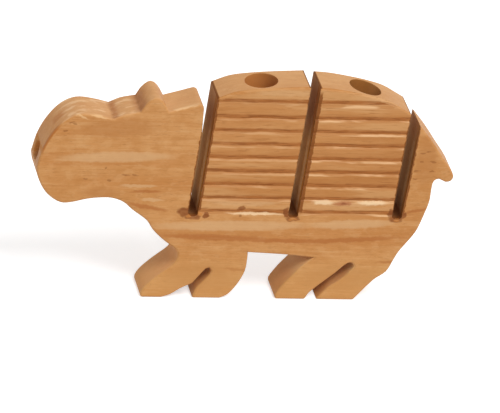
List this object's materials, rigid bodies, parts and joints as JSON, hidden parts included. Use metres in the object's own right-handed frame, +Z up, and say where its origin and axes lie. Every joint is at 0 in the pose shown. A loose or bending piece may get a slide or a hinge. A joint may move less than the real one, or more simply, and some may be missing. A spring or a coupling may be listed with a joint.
{
  "type": "animal tone block",
  "caption": "Standing hippo sawn from one thick board, with sound slots, tone bores and a scraped rib field: struck with a mallet or scraped.",
  "frame": {"origin": "on the floor under the middle of the board: the centre of the underside of the bounding box", "axes": "+X from the nose to the tail, +Y through the board towards its plain face (the grooved face looks along -Y), +Z up"},
  "size_m": [0.2798, 0.028, 0.156],
  "materials": {
    "oiled_wood": "sanded and oiled, dull, with horizontal grain"
  },
  "bodies": {
    "root": {"hippo_body": "oiled_wood"}
  },
  "joints": []
}
